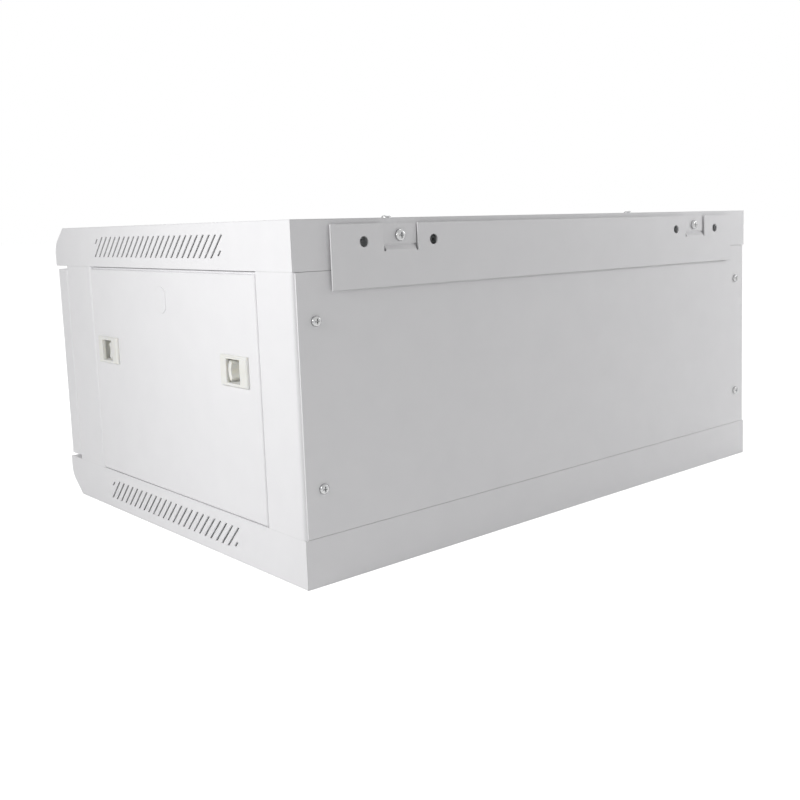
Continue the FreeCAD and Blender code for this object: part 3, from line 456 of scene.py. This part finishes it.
def dress_nodes(materials):
    """Gives every CAD node its slot's material; rails and beams are galvanised, covers have round folds."""
    for row in frame["record"]["subparts"]:
        name = row["node"]
        slot = row["material_slot"]
        if name.endswith(("_beam", "_rail")):
            slot = "galvanised"
        if name.endswith("_cover"):
            slot = "folded"
        mesh = nodes[name].data
        mesh.materials.clear()
        mesh.materials.append(materials[slot])


# Meshes made of stacked rings

def circle(radius, height, sides=ring_sides):
    """A level ring of points."""
    turns = [2 * math.pi * i / sides for i in range(sides)]
    return [Vector((radius * math.cos(t), radius * math.sin(t), height)) for t in turns]


def hexagon(corner, height, drop=0.0):
    """A level hexagon ring whose corners sink by a share of their distance past the flats."""
    flat = corner * hex_flat
    ring = []
    for i in range(hex_sides):
        turn = 2 * math.pi * i / hex_sides
        off = (turn + math.pi / 6) % (math.pi / 3) - math.pi / 6
        radius = flat / math.cos(off)
        level = height - drop * (radius - flat)
        ring.append(Vector((radius * math.cos(turn), radius * math.sin(turn), level)))
    return ring


def thread(radius, start, end, sides=ring_sides):
    """Rings of a screw thread between two heights."""
    pitch = radius * thread_pitch
    rows = max(run_in_rows, round(abs(end - start) / pitch * thread_rows))
    rings = []
    for row in range(rows + 1):
        height = start + (end - start) * row / rows
        fade = min(1.0, row / run_in_rows, (rows - row) / run_out_rows)
        ring = []
        for i in range(sides):
            phase = (height / pitch - i / sides) % 1.0
            dip = thread_depth * abs(2 * phase - 1) + (1 - fade) * thread_depth
            reach = radius * (1 - dip)
            turn = 2 * math.pi * i / sides
            ring.append(Vector((reach * math.cos(turn), reach * math.sin(turn), height)))
        rings.append(ring)
    return rings


def loop_pairs(loop):
    """Each member of a closed loop with the one after it."""
    return list(zip(loop, loop[1:] + loop[:1]))


def stack(mesh, rings, first_cap=True, last_cap=True, closed=False):
    """Joins rings with an equal number of points; returns the last ring's vertices."""
    rows = [[mesh.verts.new(point) for point in ring] for ring in rings]
    steps = loop_pairs(rows) if closed else zip(rows, rows[1:])
    for low, high in steps:
        for (low_here, low_next), (high_here, high_next) in zip(loop_pairs(low), loop_pairs(high)):
            mesh.faces.new((low_here, low_next, high_next, high_here))
    if first_cap:
        mesh.faces.new(rows[0][::-1])
    if last_cap:
        mesh.faces.new(rows[-1])
    return rows[-1]


def cross_recess(mesh, rim, head_radius, head_height):
    """Fills a screw head's flat top around a tapered cross-shaped recess."""
    arm = recess_arm * head_radius
    half = recess_half_width * head_radius
    floor = head_height * (1 - recess_depth)
    outline = []
    for quarter in range(4):
        turn = Matrix.Rotation(quarter * math.pi / 2, 3, "Z")
        outline += [turn @ Vector((x, y, 0.0)) for x, y in ((half, half), (arm, half), (arm, -half))]
    outline.sort(key=lambda point: math.atan2(point.y, point.x))
    top = [mesh.verts.new((p.x, p.y, head_height)) for p in outline]
    deep = [mesh.verts.new((p.x * recess_floor, p.y * recess_floor, floor)) for p in outline]
    edges = [mesh.edges.get(pair) or mesh.edges.new(pair) for pair in loop_pairs(rim) + loop_pairs(top)]
    bmesh.ops.triangle_fill(mesh, use_beauty=True, use_dissolve=False, edges=edges, normal=(0, 0, 1))
    for (top_here, top_next), (deep_here, deep_next) in zip(loop_pairs(top), loop_pairs(deep)):
        mesh.faces.new((top_next, top_here, deep_here, deep_next))
    mesh.faces.new(deep)


def pan_screw(mesh, place):
    """A pan-head machine screw with a cross recess and a thread."""
    shank = place["shank"]
    head = place["head"]
    height = place["height"]
    length = place["length"]
    rings = [circle(shank * screw_tip, -length)]
    rings += thread(shank, -length + shank * screw_thread_start, -shank * screw_thread_stop)
    rings.append(circle(shank * screw_neck, 0.0))
    rings += [circle(head * radius, height * level) for radius, level in pan_outline]
    rim = stack(mesh, rings, last_cap=False)
    cross_recess(mesh, rim, head, height)


def hex_bolt(mesh, place):
    """A hexagon bolt with its nut, as one run of rings from the nut's end to the head's end."""
    shank = place["shank"]
    corner = place["head"]
    flat = corner * hex_flat
    height = place["height"]
    nut = place["nut"]
    end = -place["length"]
    nut_face = end + bolt_nut_face_level * nut
    stack(mesh, [
        circle(shank * bolt_tip, end, hex_sides),
        circle(shank * bolt_end, end + shank * bolt_end_length, hex_sides),
        circle(shank, nut_face, hex_sides),
        circle(flat * bolt_nut_face, nut_face, hex_sides),
        hexagon(corner, end + bolt_nut_corner_level * nut, -hex_chamfer),
        hexagon(corner, end + nut),
        circle(shank, end + nut, hex_sides),
        circle(shank, 0.0, hex_sides),
        hexagon(corner, 0.0),
        hexagon(corner, height * bolt_head_corner_level, hex_chamfer),
        circle(flat * bolt_head_face, height, hex_sides),
    ])


# Fasteners where the CAD model has them

def mean_point(points):
    """The mean of some points, rounded."""
    return tuple(round(sum(p[i] for p in points) / len(points), middle_decimals) for i in range(3))


def loose_parts(node):
    """The points of each separate solid in a CAD node, in order of the solids' middles."""
    mesh = bmesh.new()
    mesh.from_mesh(nodes[node].data)
    bmesh.ops.remove_doubles(mesh, verts=mesh.verts, dist=weld_distance)
    found = set()
    parts = []
    for start in mesh.verts:
        queue = [] if start in found else [start]
        found.add(start)
        points = []
        while queue:
            vertex = queue.pop()
            points.append(vertex.co.copy())
            near = [edge.other_vert(vertex) for edge in vertex.link_edges]
            queue += [other for other in near if other not in found]
            found.update(near)
        if points:
            parts.append(points)
    mesh.free()
    parts.sort(key=mean_point)
    return parts


def fastener_places(node, axis):
    """Seat, direction and sizes of each fastener in a group that lies along an axis."""
    first, second = [i for i in range(3) if i != axis]
    places = []
    for points in loose_parts(node):
        middle = [(min(p[i] for p in points) + max(p[i] for p in points)) / 2 for i in range(3)]
        levels = {}
        for p in points:
            reach = math.hypot(p[first] - middle[first], p[second] - middle[second])
            level = round(p[axis], level_decimals)
            levels[level] = max(levels.get(level, 0.0), reach)
        order = sorted(levels)
        upward = levels[order[-1]] > levels[order[0]]
        if len(order) == bolt_levels:
            upward = middle[axis] > middle_height
        if not upward:
            order.reverse()
        seat = Vector(middle)
        seat[axis] = order[-2]
        out = Vector((0.0, 0.0, 0.0))
        out[axis] = 1.0 if upward else -1.0
        places.append({
            "seat": seat,
            "out": out,
            "head": max(levels.values()),
            "shank": min(levels.values()),
            "height": abs(order[-1] - order[-2]),
            "length": abs(order[-2] - order[0]),
            "nut": abs(order[1] - order[0]),
        })
    return places


def add_piece(name, mesh, material, body, replaced):
    """A finished mesh as a piece that rides on a body and stands for a CAD node."""
    bmesh.ops.recalc_face_normals(mesh, faces=mesh.faces)
    data = bpy.data.meshes.new(name)
    mesh.to_mesh(data)
    mesh.free()
    data.materials.append(material)
    data.shade_smooth()
    data.set_sharp_from_angle(angle=math.radians(sharp_angle))
    piece = bpy.data.objects.new(name, data)
    scene.collection.objects.link(piece)
    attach(piece, body)
    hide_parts(replaced)


def add_fasteners(node, axis, maker, material, body):
    """Detailed fasteners in place of a CAD node's plain ones."""
    whole = bmesh.new()
    for place in fastener_places(node, axis):
        before = set(whole.verts)
        maker(whole, place)
        made = [vertex for vertex in whole.verts if vertex not in before]
        turn = Vector((0, 0, 1)).rotation_difference(place["out"]).to_matrix().to_4x4()
        bmesh.ops.transform(whole, matrix=Matrix.Translation(place["seat"]) @ turn, verts=made)
    add_piece(node + "_detailed", whole, material, body, node)


# Lock

def lock_sizes():
    """The lock's depth, its head's height and the radii of head, barrel and bore, from the CAD model."""
    low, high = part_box("lock_body")
    centre = (low + high) / 2
    head = (high.x - low.x) / 2
    points = [vertex.co for vertex in nodes["lock_body"].data.vertices]
    levels = [(math.hypot(p.x - centre.x, p.z - centre.z), p.y) for p in points]
    head_end = max(y for reach, y in levels if reach > lock_rim * head)
    plug_low, plug_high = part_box("lock_plug")
    return {
        "depth": high.y - low.y,
        "height": head_end - low.y,
        "head": head,
        "barrel": max(reach for reach, y in levels if y > head_end + lock_level_step),
        "bore": (plug_high.x - plug_low.x) / 2 + lock_plug_gap,
    }


def add_turned(name, rings, material, replaced):
    """A piece of stacked rings on the lock's axis, which starts at the front of the node it stands for."""
    low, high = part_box(replaced)
    mesh = bmesh.new()
    stack(mesh, rings, first_cap=False, last_cap=False, closed=True)
    place = Matrix.Translation(((low.x + high.x) / 2, low.y, (low.z + high.z) / 2))
    bmesh.ops.transform(mesh, matrix=place @ Matrix.Rotation(-math.pi / 2, 4, "X"), verts=mesh.verts)
    add_piece(name, mesh, material, "door", replaced)


def lock_piece(sizes, material):
    """The lock body with a bevelled head, a threaded barrel and its bore."""
    depth = sizes["depth"]
    height = sizes["height"]
    head = sizes["head"]
    barrel = sizes["barrel"]
    bore = sizes["bore"]
    rings = [circle(bore, lock_bore_chamfer_depth, lock_sides)]
    rings.append(circle(bore + lock_bore_chamfer_width, 0.0, lock_sides))
    rings += [circle(head * radius, level, lock_sides) for radius, level in lock_bevel]
    rings.append(circle(head, height, lock_sides))
    rings.append(circle(barrel * lock_neck, height, lock_sides))
    rings += thread(barrel, height + lock_thread_start, depth - lock_thread_stop, lock_sides)
    rings.append(circle(barrel * lock_barrel_end, depth, lock_sides))
    rings.append(circle(bore, depth, lock_sides))
    add_turned("lock_body_detailed", rings, material, "lock_body")


def lock_nut_piece(sizes, material):
    """The lock's nut with chamfered corners at both ends."""
    low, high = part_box("lock_nut")
    corner = max(high.x - low.x, high.z - low.z) / 2
    face = corner * hex_flat * lock_nut_face
    depth = high.y - low.y
    bore = sizes["barrel"] + lock_nut_gap
    rings = [
        circle(bore, 0.0, hex_sides),
        circle(face, 0.0, hex_sides),
        hexagon(corner, lock_nut_corner_depth * depth, -hex_chamfer),
        hexagon(corner, (1 - lock_nut_corner_depth) * depth, hex_chamfer),
        circle(face, depth, hex_sides),
        circle(bore, depth, hex_sides),
    ]
    add_turned("lock_nut_detailed", rings, material, "lock_nut")


# Stage

def area_light(name, place, aim, width, height, power):
    """A soft box aimed at a point."""
    data = bpy.data.lights.new(name, "AREA")
    data.shape = "RECTANGLE"
    data.size = width
    data.size_y = height
    data.energy = power
    light = bpy.data.objects.new(name, data)
    light.location = place
    light.rotation_euler = (Vector(aim) - Vector(place)).to_track_quat("-Z", "Y").to_euler()
    light.visible_camera = False
    scene.collection.objects.link(light)


def seen_rays(tree):
    """One for rays that show the background: from the camera, off gloss and through glass."""
    path = tree.nodes.new("ShaderNodeLightPath")
    value = path.outputs["Is Camera Ray"]
    for name in ("Is Glossy Ray", "Is Transmission Ray"):
        larger = tree.nodes.new("ShaderNodeMath")
        larger.operation = "MAXIMUM"
        tree.links.new(value, larger.inputs[0])
        tree.links.new(path.outputs[name], larger.inputs[1])
        value = larger.outputs["Value"]
    return value


def add_world():
    """White where the background shows, and a softer white as ambient light."""
    world = bpy.data.worlds.new("studio")
    scene.world = world
    world.use_nodes = True
    tree = world.node_tree
    background = tree.nodes["Background"]
    background.inputs["Color"].default_value = white
    strength = tree.nodes.new("ShaderNodeMapRange")
    strength.inputs["To Min"].default_value = ambient_strength
    strength.inputs["To Max"].default_value = 1.0
    tree.links.new(seen_rays(tree), strength.inputs["Value"])
    tree.links.new(strength.outputs["Result"], background.inputs["Strength"])


def add_floor():
    """A white floor that glows where it shows, and still keeps the object's shadow."""
    mesh = bmesh.new()
    corners = ((-1, -1), (1, -1), (1, 1), (-1, 1))
    mesh.faces.new([mesh.verts.new((x * floor_half, y * floor_half, floor_level)) for x, y in corners])
    data = bpy.data.meshes.new("floor")
    mesh.to_mesh(data)
    mesh.free()
    floor = bpy.data.objects.new("floor", data)
    scene.collection.objects.link(floor)
    shader = Shader("floor_white")
    data.materials.append(shader.material)
    shader.set(Base_Color=floor_colour, Roughness=floor_roughness)
    shader.set(Specular_IOR_Level=0.0, Emission_Color=white)
    seen = seen_rays(shader.tree)
    shader.feed(Emission_Strength=shader.spread(seen, high=floor_glow, start=0.0, end=1.0))


add_camera()
zinc = zinc_plate()
chrome = lock_chrome()
dress_nodes({
    "powder_coat": powder_coat(),
    "folded": powder_coat_folded(),
    "zinc_steel": zinc,
    "galvanised": galvanised_sheet(),
    "latch_plastic": latch_plastic(),
    "door_glass": door_glass(),
    "seal_rubber": seal_rubber(),
    "lock_chrome": chrome,
    "block_plastic": block_plastic(),
})
screw_groups = {
    "cover_screws": axis_z,
    "beam_screws": axis_y,
    "back_panel_screws": axis_y,
    "wall_bracket_screws": axis_y,
    "top_entry_screws": axis_z,
    "bottom_entry_screws": axis_z,
}
for group, axis in screw_groups.items():
    add_fasteners(group, axis, pan_screw, zinc, "cabinet")
for side in ("left", "right"):
    for end in ("front", "rear"):
        add_fasteners(f"{side}_{end}_rail_bolts", axis_z, hex_bolt, zinc, f"{side}_{end}_rack")
sizes = lock_sizes()
lock_piece(sizes, chrome)
lock_nut_piece(sizes, zinc)
add_world()
add_floor()
for name, settings in lights.items():
    area_light(name, *settings)
